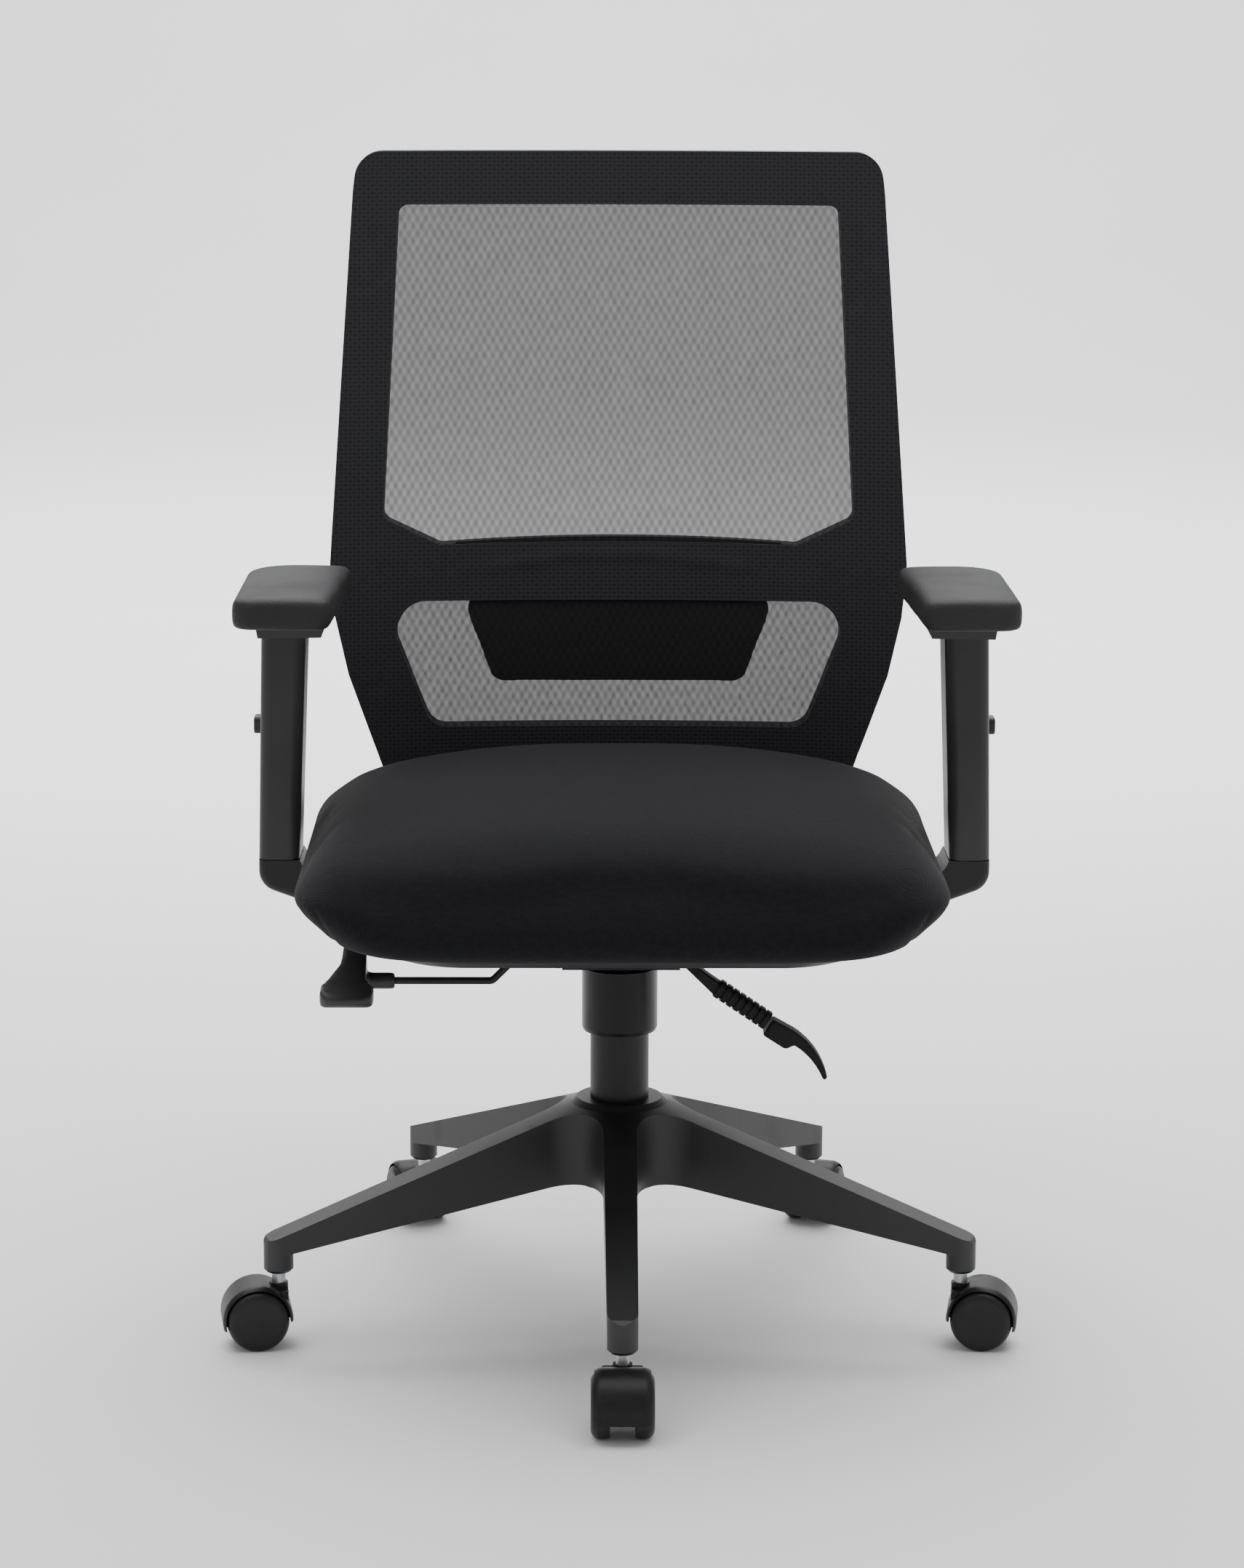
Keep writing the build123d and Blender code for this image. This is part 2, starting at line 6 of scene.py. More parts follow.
import bmesh
import bpy
from mathutils import Matrix, Vector
from mathutils.bvhtree import BVHTree


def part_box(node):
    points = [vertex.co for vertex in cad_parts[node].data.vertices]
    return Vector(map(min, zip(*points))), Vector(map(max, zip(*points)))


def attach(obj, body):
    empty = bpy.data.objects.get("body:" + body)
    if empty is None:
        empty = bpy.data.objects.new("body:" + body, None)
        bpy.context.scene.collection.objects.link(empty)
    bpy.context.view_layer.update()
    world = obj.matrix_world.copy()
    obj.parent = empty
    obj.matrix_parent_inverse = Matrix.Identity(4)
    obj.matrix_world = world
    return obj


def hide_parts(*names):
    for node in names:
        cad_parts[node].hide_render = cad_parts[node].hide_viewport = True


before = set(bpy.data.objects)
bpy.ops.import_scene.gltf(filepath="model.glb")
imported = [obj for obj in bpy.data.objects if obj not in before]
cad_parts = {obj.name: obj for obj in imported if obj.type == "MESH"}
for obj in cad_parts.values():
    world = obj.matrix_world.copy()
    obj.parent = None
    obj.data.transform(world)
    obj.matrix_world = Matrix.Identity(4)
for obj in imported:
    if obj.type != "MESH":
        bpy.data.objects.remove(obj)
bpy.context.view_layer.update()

LOG = logging.getLogger("office_chair")
Colour = tuple[float, float, float]


# ---------------------------------------------------------------- shader graph


class Value:
    """A number at a shader socket, so that shader maths reads as plain expressions."""

    def __init__(self, graph: "Graph", socket: bpy.types.NodeSocket) -> None:
        """Keeps the graph and the socket that gives the number."""
        self.graph = graph
        self.socket = socket

    def op(self, operation: str, *terms: "Value | float") -> "Value":
        """Gives the result of a Math node on this value's graph."""
        return self.graph.node("ShaderNodeMath", {"operation": operation}, dict(enumerate(terms)))

    def __add__(self, other: "Value | float") -> "Value":
        """Sum."""
        return self.op("ADD", self, other)

    def __radd__(self, other: float) -> "Value":
        """Sum, with the number first."""
        return self.op("ADD", other, self)

    def __sub__(self, other: "Value | float") -> "Value":
        """Difference."""
        return self.op("SUBTRACT", self, other)

    def __rsub__(self, other: float) -> "Value":
        """Difference, with the number first."""
        return self.op("SUBTRACT", other, self)

    def __mul__(self, other: "Value | float") -> "Value":
        """Product."""
        return self.op("MULTIPLY", self, other)

    def __rmul__(self, other: float) -> "Value":
        """Product, with the number first."""
        return self.op("MULTIPLY", other, self)

    def sine(self) -> "Value":
        """Sine, in radians."""
        return self.op("SINE", self)

    def cosine(self) -> "Value":
        """Cosine, in radians."""
        return self.op("COSINE", self)

    def size(self) -> "Value":
        """Absolute value."""
        return self.op("ABSOLUTE", self)

    def ramp(self, low: float, high: float) -> "Value":
        """Rises smoothly from 0 at low to 1 at high.

        Args:
            low: Input that gives 0.
            high: Input that gives 1.

        Returns:
            The smooth step.
        """
        return self.graph.node(
            "ShaderNodeMapRange",
            {"interpolation_type": "SMOOTHSTEP"},
            {0: self, 1: low, 2: high, 3: 0.0, 4: 1.0},
        )


class Graph:
    """The node tree of one material, written from Python."""

    def __init__(self, name: str) -> None:
        """Makes an empty material.

        Args:
            name: Name of the material.
        """
        self.material = bpy.data.materials.new(name)
        self.material.use_nodes = True
        self.tree = self.material.node_tree
        self.tree.nodes.clear()

    def node(
        self,
        kind: str,
        settings: dict | None = None,
        inputs: dict | None = None,
        output: int | str = 0,
    ) -> Value:
        """Adds a node.

        Args:
            kind: Blender's type name of the node.
            settings: Its properties, set first.
            inputs: Values or links of its sockets, by name or number.
            output: The socket to give back.

        Returns:
            The chosen output.
        """
        made = self.tree.nodes.new(kind)
        for key, value in (settings or {}).items():
            setattr(made, key, value)
        for key, value in (inputs or {}).items():
            if isinstance(value, Value):
                self.tree.links.new(value.socket, made.inputs[key])
            else:
                made.inputs[key].default_value = value
        return Value(self, made.outputs[output])

    def place(self, scale: tuple[float, float, float] = (1, 1, 1)) -> Value:
        """Gives the object's own coordinates, in metres, stretched by scale."""
        at = self.node("ShaderNodeTexCoord", output="Object")
        return self.node("ShaderNodeMapping", inputs={"Vector": at, "Scale": scale})

    def axes(self) -> tuple[Value, Value, Value]:
        """Gives the object's X, Y and Z coordinates, in metres."""
        made = self.node("ShaderNodeSeparateXYZ", inputs={0: self.place()}).socket.node
        return tuple(Value(self, made.outputs[i]) for i in range(3))

    def noise(self, scale: float, detail: float = 2.0, stretch: tuple = (1, 1, 1)) -> Value:
        """Gives smooth noise from 0 to 1.

        Args:
            scale: Blotches to a metre.
            detail: Octaves.
            stretch: Scale along each axis.

        Returns:
            The noise.
        """
        return self.node(
            "ShaderNodeTexNoise",
            inputs={"Vector": self.place(stretch), "Scale": scale, "Detail": detail},
        )

    def cells(self, scale: float) -> Value:
        """Gives the distance to the nearest of scattered points, scale of them to a metre."""
        return self.node(
            "ShaderNodeTexVoronoi", inputs={"Vector": self.place(), "Scale": scale}
        )

    def blend(self, share: Value, first: Colour, second: Colour) -> Value:
        """Mixes two colours.

        Args:
            share: How much of the second.
            first: Linear colour at 0.
            second: Linear colour at 1.

        Returns:
            The mixed colour.
        """
        return self.node(
            "ShaderNodeMix",
            {"data_type": "RGBA"},
            {0: share, 6: (*first, 1.0), 7: (*second, 1.0)},
            output=2,
        )

    def bump(self, height: Value, distance: float) -> Value:
        """Gives a normal from a height of 0 to 1, distance metres tall."""
        return self.node("ShaderNodeBump", inputs={"Height": height, "Distance": distance})

    def surface(
        self,
        colour: "Value | Colour",
        roughness: "Value | float",
        normal: Value | None = None,
        **others: "Value | float",
    ) -> bpy.types.Material:
        """Ends the material in one Principled shader.

        Args:
            colour: Base colour.
            roughness: Roughness.
            normal: Bumped normal.
            **others: Other sockets, with underscores for spaces.

        Returns:
            The material.
        """
        inputs = {key.replace("_", " "): value for key, value in others.items()}
        inputs["Base Color"] = colour if isinstance(colour, Value) else (*colour, 1.0)
        inputs["Roughness"] = roughness
        if normal is not None:
            inputs["Normal"] = normal
        shader = self.node("ShaderNodeBsdfPrincipled", inputs=inputs)
        end = self.tree.nodes.new("ShaderNodeOutputMaterial")
        self.tree.links.new(shader.socket, end.inputs["Surface"])
        return self.material


# -------------------------------------------------------------------- finishes


@dataclass(frozen=True)
class Nylon:
    """Moulded nylon with a fine spark-eroded skin and faint flow marks."""

    name: str
    colour: Colour = (0.0125, 0.0125, 0.0138)
    worn: Colour = (0.021, 0.021, 0.023)
    rough: float = 0.44
    grain: float = 1100.0
    depth: float = 0.00006
    shine: float = 0.3

    def material(self) -> bpy.types.Material:
        """Makes the material."""
        graph = Graph(self.name)
        broad = graph.noise(14.0, 4.0)
        fine = graph.noise(self.grain, 2.0)
        scuff = graph.noise(60.0, 5.0, (1, 1, 0.25)).ramp(0.60, 0.78)
        colour = graph.blend(broad.ramp(0.3, 0.75) * 0.7 + scuff * 0.3, self.colour, self.worn)
        rough = self.rough - 0.06 + broad * 0.10 + scuff * 0.08 + fine * 0.03
        return graph.surface(
            colour, rough, graph.bump(fine, self.depth), Specular_IOR_Level=self.shine
        )


@dataclass(frozen=True)
class Steel:
    """Steel, bright, ground or painted, with fine lay marks along one axis."""

    name: str
    colour: Colour = (0.55, 0.55, 0.56)
    shade: Colour = (0.36, 0.36, 0.37)
    rough: float = 0.22
    metal: float = 1.0
    lay: tuple[float, float, float] = (1, 1, 12)
    depth: float = 0.00002

    def material(self) -> bpy.types.Material:
        """Makes the material."""
        graph = Graph(self.name)
        lay = graph.noise(260.0, 3.0, self.lay)
        haze = graph.noise(22.0, 4.0)
        colour = graph.blend(haze.ramp(0.35, 0.75) * 0.5 + lay * 0.3, self.colour, self.shade)
        rough = self.rough + (haze - 0.5) * 0.14 + (lay - 0.5) * 0.12
        return graph.surface(colour, rough, graph.bump(lay, self.depth), Metallic=self.metal)


@dataclass(frozen=True)
class Powder:
    """Powder paint on steel, with the slight orange peel of a sprayed coat."""

    name: str
    colour: Colour = (0.0115, 0.0115, 0.0128)
    chalk: Colour = (0.017, 0.017, 0.0185)
    rough: float = 0.44
    peel: float = 420.0

    def material(self) -> bpy.types.Material:
        """Makes the material."""
        graph = Graph(self.name)
        peel = graph.noise(self.peel, 1.5)
        dust = graph.noise(9.0, 5.0)
        colour = graph.blend(dust.ramp(0.35, 0.8), self.colour, self.chalk)
        rough = self.rough + (dust - 0.5) * 0.16 + peel * 0.03
        return graph.surface(
            colour, rough, graph.bump(peel, 0.00012), Specular_IOR_Level=0.3
        )


@dataclass(frozen=True)
class Woven:
    """Woven cloth: two crossing sets of yarn, heathered, with a soft nap."""

    name: str
    colour: Colour = (0.0055, 0.0055, 0.0068)
    light: Colour = (0.0115, 0.0115, 0.014)
    pitch: float = 0.0023
    depth: float = 0.00035
    rough: float = 0.9
    nap: float = 0.06

    def material(self) -> bpy.types.Material:
        """Makes the material."""
        graph = Graph(self.name)
        x, y, z = graph.axes()
        turn = 2 * math.pi / self.pitch
        warp = ((x + z) * turn).sine()
        weft = ((y - z) * turn).sine()
        yarn = (warp * weft) * 0.5 + 0.5
        fuzz = graph.noise(900.0, 2.0)
        heather = graph.noise(170.0, 3.0, (1, 3, 1))
        tone = yarn * 0.45 + heather.ramp(0.3, 0.7) * 0.35 + fuzz * 0.2
        rough = self.rough + (fuzz - 0.5) * 0.12
        height = yarn * 0.7 + fuzz * 0.3
        return graph.surface(
            graph.blend(tone, self.colour, self.light),
            rough,
            graph.bump(height, self.depth),
            Sheen_Weight=self.nap,
            Sheen_Roughness=0.45,
            Specular_IOR_Level=0.12,
        )


@dataclass(frozen=True)
class Knit:
    """Warp-knitted cloth: upright wales with staggered eyelets, pulled tight."""

    name: str
    colour: Colour = (0.0095, 0.0095, 0.0115)
    light: Colour = (0.026, 0.026, 0.0305)
    wale: float = 0.0037
    course: float = 0.0033
    depth: float = 0.0003
    rough: float = 0.8
    nap: float = 0.08

    def material(self) -> bpy.types.Material:
        """Makes the material."""
        graph = Graph(self.name)
        x, _, z = graph.axes()
        across = x * (math.pi / self.wale)
        along = z * (math.pi / self.course)
        loops = (across.sine() * along.sine()).size()
        stagger = ((across + along) * 0.5).sine() * ((across - along) * 0.5).sine()
        eyelet = stagger.size().ramp(0.55, 0.95)
        fuzz = graph.noise(1000.0, 2.0)
        tone = loops * 0.4 + fuzz * 0.25 + (1.0 - eyelet) * 0.35
        height = loops * 0.6 + (1.0 - eyelet) * 0.4
        return graph.surface(
            graph.blend(tone, self.colour, self.light),
            self.rough + (fuzz - 0.5) * 0.14,
            graph.bump(height, self.depth),
            Sheen_Weight=self.nap,
            Sheen_Roughness=0.4,
            Specular_IOR_Level=0.2,
        )


@dataclass(frozen=True)
class Net:
    """Open warp knit, too fine to see hole by hole: its staggered knots let less light through."""

    name: str
    colour: Colour = (0.006, 0.006, 0.007)
    light: Colour = (0.014, 0.014, 0.016)
    solid: float = 0.877
    gather: float = 0.035
    knot: tuple[float, float] = (0.0072, 0.0064)
    rough: float = 0.8

    def material(self) -> bpy.types.Material:
        """Makes the material."""
        graph = Graph(self.name)
        x, _, z = graph.axes()
        across = (x * (math.tau / self.knot[0])).cosine()
        along = (z * (math.pi / self.knot[1])).cosine()
        knots = across * along
        uneven = graph.noise(260.0, 2.0, (1, 0.2, 0.6)) - 0.5
        solid = knots * self.gather + uneven * 0.05 + self.solid
        return graph.surface(
            graph.blend(knots * 0.5 + 0.5, self.light, self.colour),
            self.rough + uneven * 0.2,
            Alpha=solid,
            Specular_IOR_Level=0.2,
        )


@dataclass(frozen=True)
class SoftSkin:
    """Self-skinned foam or rubber with a leathery pebble."""

    name: str
    colour: Colour = (0.0195, 0.0195, 0.021)
    light: Colour = (0.028, 0.028, 0.030)
    rough: float = 0.56
    pebble: float = 700.0
    depth: float = 0.00016

    def material(self) -> bpy.types.Material:
        """Makes the material."""
        graph = Graph(self.name)
        pebble = graph.cells(self.pebble).ramp(0.0, 0.8)
        rub = graph.noise(16.0, 4.0).ramp(0.35, 0.75)
        colour = graph.blend(rub * 0.6 + pebble * 0.3, self.colour, self.light)
        rough = self.rough - 0.05 + rub * 0.10 + pebble * 0.05
        return graph.surface(
            colour, rough, graph.bump(pebble, self.depth), Specular_IOR_Level=0.22
        )


class Finish(Enum):
    """Every finish on the chair."""

    WHEEL = Nylon("wheel_nylon", rough=0.42, colour=(0.009, 0.009, 0.0098))
    HOOD = Nylon("hood_nylon", rough=0.40, colour=(0.0062, 0.0062, 0.0068), shine=0.22)
    BASE = Nylon("base_nylon", depth=0.00008, shine=0.5, colour=(0.015, 0.015, 0.0166))
    PLASTIC = Nylon("frame_plastic", rough=0.5)
    COLLAR = Nylon(
        "collar_plastic", colour=(0.0040, 0.0040, 0.0046), worn=(0.007, 0.007, 0.0078),
        rough=0.32, shine=0.24,
    )
    POST = Nylon(
        "arm_plastic", colour=(0.021, 0.021, 0.023), worn=(0.030, 0.030, 0.032), shine=0.4
    )
    PALE = Nylon("pale_acetal", colour=(0.55, 0.54, 0.50), worn=(0.42, 0.41, 0.38), rough=0.4)
    BRIGHT = Steel("bright_steel")
    GROUND = Steel("ground_steel", rough=0.30, lay=(12, 1, 1))
    PAINTED = Powder("painted_steel")
    SEAT = Woven("seat_cloth")
    COVER = Knit("back_cover_knit")
    NET = Net("back_net")
    NET_LOW = Net("back_net_low", solid=0.93, gather=0.022)
    PAD = SoftSkin("arm_pad_skin")
    LUMBAR = SoftSkin("lumbar_skin", colour=(0.006, 0.006, 0.0066), light=(0.01, 0.01, 0.011))
    GRIP = SoftSkin("grip_rubber", colour=(0.008, 0.008, 0.0087), light=(0.014, 0.014, 0.015))

    def get(self) -> bpy.types.Material:
        """Gives the finish's material, made at its first use."""
        return bpy.data.materials.get(self.value.name) or self.value.material()


# ------------------------------------------------------------------ shop tools


class Shop:
    """Makes finished objects from bmeshes and gives CAD nodes their finish."""

    @staticmethod
    def dress(finish: Finish, *nodes: str) -> None:
        """Gives CAD nodes a finish.

        Args:
            finish: The finish.
            *nodes: Names of the nodes.
        """
        for name in nodes:
            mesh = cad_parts[name].data
            mesh.materials.clear()
            mesh.materials.append(finish.get())

    @staticmethod
    def copy(node: str) -> bmesh.types.BMesh:
        """Gives a CAD node's shape as a bmesh with its doubles merged."""
        shape = bmesh.new()
        shape.from_mesh(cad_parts[node].data)
        bmesh.ops.remove_doubles(shape, verts=shape.verts, dist=0.00002)
        return shape

    @staticmethod
    def link(name: str, shape: bmesh.types.BMesh) -> bpy.types.Object:
        """Makes an object of a bmesh and frees the bmesh."""
        mesh = bpy.data.meshes.new(name)
        shape.to_mesh(mesh)
        shape.free()
        made = bpy.data.objects.new(name, mesh)
        bpy.context.scene.collection.objects.link(made)
        return made

    @staticmethod
    def bake(made: bpy.types.Object) -> None:
        """Applies all of an object's modifiers to its mesh."""
        bpy.context.view_layer.update()
        seen = made.evaluated_get(bpy.context.evaluated_depsgraph_get())
        old, new = made.data, bpy.data.meshes.new_from_object(seen)
        made.modifiers.clear()
        made.data = new
        new.name = made.name
        bpy.data.meshes.remove(old)

    @staticmethod
    def remesh(made: bpy.types.Object, voxel: float) -> None:
        """Gives an object even quads, voxel metres across."""
        step = made.modifiers.new("even", "REMESH")
        step.mode, step.voxel_size = "VOXEL", voxel
        Shop.bake(made)

    @staticmethod
    def soften(made: bpy.types.Object, rounds: int) -> None:
        """Smooths an object's mesh, each point going half-way to its neighbours.

        Args:
            made: The object.
            rounds: How many times.
        """
        shape = bmesh.new()
        shape.from_mesh(made.data)
        for _ in range(rounds):
            bmesh.ops.smooth_vert(
                shape, verts=shape.verts, factor=0.5,
                use_axis_x=True, use_axis_y=True, use_axis_z=True,
            )
        shape.to_mesh(made.data)
        shape.free()

    @staticmethod
    def divide(made: bpy.types.Object) -> None:
        """Subdivides an object's mesh once, smoothly."""
        step = made.modifiers.new("smooth", "SUBSURF")
        step.levels = step.render_levels = 1
        Shop.bake(made)

    @staticmethod
    def finish(
        made: bpy.types.Object, finish: Finish, body: str, slot: str, crease: float = 180.0
    ) -> None:
        """Ends a piece: its finish, its shading and the body it rides on.

        Args:
            made: The piece.
            finish: Its finish.
            body: The body that carries it.
            slot: Not used.
            crease: Edges sharper than this, in degrees, stay sharp.
        """
        mesh = made.data
        mesh.materials.clear()
        mesh.materials.append(finish.get())
        mesh.polygons.foreach_set("use_smooth", [True] * len(mesh.polygons))
        if crease < 180:
            mesh.set_sharp_from_angle(angle=math.radians(crease))
        mesh.update()
        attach(made, body)
        LOG.info("%s: %d faces on %s", made.name, len(mesh.polygons), body)


# ------------------------------------------------------------------ assemblies


@dataclass
class Casters:
    """The twin-wheel casters round the base."""

    places: tuple[str, ...] = ("front", "right", "rear_right", "rear_left", "left")

    def dress(self) -> None:
        """Gives every caster's stem, hood, axle and wheels their finish."""
        for place in self.places:
            Shop.dress(Finish.HOOD, f"{place}_caster_hood")
            Shop.dress(Finish.BRIGHT, f"{place}_caster_stem", f"{place}_caster_axle")
            Shop.dress(Finish.WHEEL, f"{place}_caster_wheel_a", f"{place}_caster_wheel_b")


@dataclass
class Base:
    """The star base, its column and the mechanism over it."""

    painted: tuple[str, ...] = (
        "gas_tube", "mechanism_housing", "seat_plate", "back_bracket",
        "arm_bracket_left", "arm_bracket_right",
    )
    bright: tuple[str, ...] = ("gas_cylinder", "back_bolts", "socket_rings", "rod_clip")
    ground: tuple[str, ...] = ("piston_rod", "thrust_bearing", "mechanism_axles", "tilt_spring")

    def dress(self) -> None:
        """Gives the base, column and mechanism their finish."""
        Shop.dress(Finish.BASE, "star_base")
        Shop.dress(Finish.COLLAR, "column_cover")
        Shop.dress(Finish.PALE, "guide_bushing")
        Shop.dress(Finish.PAINTED, *self.painted, "height_lever_rod")
        Shop.dress(Finish.BRIGHT, *self.bright)
        Shop.dress(Finish.GROUND, *self.ground)


@dataclass
class Levers:
    """The seat-height paddle and the ribbed tilt-lock lever."""

    voxel: float = 0.0014
    paddle_rounds: int = 14
    grip_rounds: int = 3

    def soft(
        self, name: str, node: str, body: str, rounds: int, finish: Finish, slot: str
    ) -> None:
        """Makes a moulded lever end from its CAD solid, with its edges rounded off.

        Args:
            name: Name of the piece.
            node: The CAD node.
            body: The body that carries it.
            rounds: Rounds of smoothing.
            finish: Its finish.
            slot: The record's material slot.
        """
        made = Shop.link(name, Shop.copy(node))
        Shop.remesh(made, self.voxel)
        Shop.soften(made, rounds)
        Shop.finish(made, finish, body, slot)
        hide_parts(node)

    def build(self) -> None:
        """Makes both levers' grips."""
        self.soft("height_paddle", "height_lever_paddle", "height_lever", self.paddle_rounds,
                  Finish.POST, "black_plastic")
        Shop.dress(Finish.GRIP, "lock_lever_neck")
        self.soft("lock_grip", "lock_lever_grip", "lock_lever", self.grip_rounds,
                  Finish.GRIP, "lever_rubber")


@dataclass
class Seat:
    """The upholstered seat: board, shell and the sewn cushion."""

    voxel: float = 0.006
    half_width: float = 0.256
    start: float = 0.985  # the filling's size before its cover is drawn over it
    crown: float = 0.80  # how far the sides drop below the middle of the top
    crown_from: float = 0.395
    crown_power: float = 2.6
    shoulder_out: float = 0.008
    shoulder_at: float = 0.403
    shoulder_spread: float = 0.016
    pressure: float = 4.0
    frames: int = 20
    cap: float = 0.009  # the furthest that the cover moves
    cap_from: float = 0.362
    cap_rise: float = 0.03
    tuck_in: float = 0.018
    tuck_from: float = 0.390
    tuck_drop: float = 0.034
    lift_side: float = 0.011
    lift_from: float = 0.45
    rounds: int = 10
    seam_low: float = 0.352
    seam_foot: float = 0.214
    seam_lean: float = 0.52
    seam_width: float = 0.0024
    seam_depth: float = 0.0013
    seam_ends: tuple[float, float] = (0.350, 0.400)
    seam_fades: tuple[float, float] = (0.015, 0.025)

    def shaped(self) -> bpy.types.Object:
        """Gives the cushion's filling before its cover is drawn tight."""
        shape = Shop.copy("seat_cushion")
        low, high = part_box("seat_cushion")
        middle = (low + high) / 2
        for vert in shape.verts:
            off = vert.co - middle
            vert.co.x = middle.x + off.x * self.start
            vert.co.y = middle.y + off.y * self.start
            vert.co.z = low.z + (vert.co.z - low.z) * self.start
        made = Shop.link("seat_cover", shape)
        Shop.remesh(made, self.voxel)
        for vert in made.data.vertices:
            lift = max(0.0, vert.co.z - self.crown_from)
            out = min(1.0, abs(vert.co.x) / self.half_width)
            vert.co.z -= lift * self.crown * out ** self.crown_power
            shoulder = math.exp(-(((vert.co.z - self.shoulder_at) / self.shoulder_spread) ** 2))
            vert.co.x += math.copysign(self.shoulder_out * shoulder * out ** 4, vert.co.x)
        return made

    def inflate(self, made: bpy.types.Object) -> None:
        """Draws the cover over its filling with a cloth simulation.

        Args:
            made: The cushion.
        """
        start = [(vert.co.copy(), vert.normal.copy()) for vert in made.data.vertices]
        cloth = made.modifiers.new("cover", "CLOTH")
        settings = cloth.settings
        settings.quality = 5
        settings.use_pressure = True
        settings.uniform_pressure_force = self.pressure
        settings.effector_weights.gravity = 0.0
        cloth.point_cache.frame_start, cloth.point_cache.frame_end = 1, self.frames
        scene = bpy.context.scene
        for step in range(1, self.frames + 1):
            scene.frame_set(step)
        Shop.bake(made)
        scene.frame_set(1)
        for vert, (old, normal) in zip(made.data.vertices, start):
            room = self.cap * min(1.0, max(0.0, (old.z - self.cap_from) / self.cap_rise))
            vert.co = old + normal * min(room, max(0.0, (vert.co - old).dot(normal)))

    def tuck(self, made: bpy.types.Object) -> None:
        """Draws the lower sides in and up, where the cover is pulled under the shell.

        Args:
            made: The cushion.
        """
        for vert in made.data.vertices:
            out = min(1.0, abs(vert.co.x) / self.half_width)
            low = min(1.0, max(0.0, (self.tuck_from - vert.co.z) / self.tuck_drop))
            low *= low * (3 - 2 * low)
            side = max(0.0, (out - self.lift_from) / (1 - self.lift_from))
            vert.co.x -= math.copysign(self.tuck_in * low * out ** 5, vert.co.x)
            vert.co.z += self.lift_side * low * side ** 1.6

    def sew(self, made: bpy.types.Object) -> None:
        """Presses the side panels' seams into the cover.

        Args:
            made: The cushion.
        """
        mesh = made.data
        mesh.update()
        normals = [vert.normal.copy() for vert in mesh.vertices]
        (low, high), (fade_low, fade_high) = self.seam_ends, self.seam_fades
        for vert, normal in zip(mesh.vertices, normals):
            line = self.seam_foot + self.seam_lean * (vert.co.z - self.seam_low)
            groove = math.exp(-(((abs(vert.co.x) - line) / self.seam_width) ** 2))
            fade = min(1.0, max(0.0, (vert.co.z - low) / fade_low))
            fade *= min(1.0, max(0.0, (high - vert.co.z) / fade_high))
            vert.co -= normal * (self.seam_depth * groove * fade)

    def build(self) -> None:
        """Makes the cushion and dresses the board, which its cover wraps, and the shell."""
        Shop.dress(Finish.SEAT, "seat_board")
        Shop.dress(Finish.PLASTIC, "seat_shell")
        made = self.shaped()
        self.inflate(made)
        self.tuck(made)
        Shop.soften(made, self.rounds)
        Shop.divide(made)
        self.sew(made)
        Shop.finish(made, Finish.SEAT, "seat", "seat_fabric")
        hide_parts("seat_cushion")


@dataclass
class Arms:
    """The two adjustable arms."""

    voxel: float = 0.0026
    rounds: int = 4
    crown: float = 0.0022
    crown_length: float = 0.6  # how much of the crown is gone at the pad's ends

    def pad(self, side: str) -> None:
        """Makes one arm's pad, rounded over and slightly crowned.

        Args:
            side: left or right.
        """
        node = f"arm_pad_{side}"
        low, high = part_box(node)
        middle, half = (low + high) / 2, (high - low) / 2
        made = Shop.link(f"arm_rest_{side}", Shop.copy(node))
        Shop.remesh(made, self.voxel)
        Shop.soften(made, self.rounds)
        for vert in made.data.vertices:
            u = (vert.co.x - middle.x) / half.x
            v = (vert.co.y - middle.y) / half.y
            top = max(0.0, (vert.co.z - middle.z) / half.z)
            vert.co.z += top * self.crown * (1 - u * u) * (1 - self.crown_length * v * v)
        Shop.divide(made)
        Shop.finish(made, Finish.PAD, f"arm_{side}", "soft_pad")
        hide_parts(node)

    def build(self) -> None:
        """Makes both pads and dresses the arms."""
        for side in ("left", "right"):
            self.pad(side)
            Shop.dress(Finish.POST, f"arm_sleeve_{side}", f"arm_button_{side}")


@dataclass
class Window:
    """One window of the back, in metres: half-width and height of its right-hand corners."""

    corners: tuple[tuple[float, float], ...]
    rounding: tuple[float, ...]
    arch: float = 0.0  # how far its lower edge rises in the middle

    def outline(self) -> list[tuple[float, float]]:
        """Gives the window's corners all the way round."""
        return [(-x, z) for x, z in self.corners] + [(x, z) for x, z in reversed(self.corners)]

    def spans(self) -> tuple[float, float, float]:
        """Gives the window's largest half-width and its lowest and highest points."""
        heights = [z for _, z in self.corners]
        return max(x for x, _ in self.corners), min(heights), max(heights)

    def reach(self, z: float) -> float:
        """Gives the half-width of the window at height z, or of its nearest corner."""
        rows = sorted(self.corners, key=lambda c: c[1])
        if z <= rows[0][1]:
            return rows[0][0]
        for (x0, z0), (x1, z1) in zip(rows, rows[1:]):
            if z <= z1:
                return x0 + (x1 - x0) * (z - z0) / max(1e-9, z1 - z0)
        return rows[-1][0]


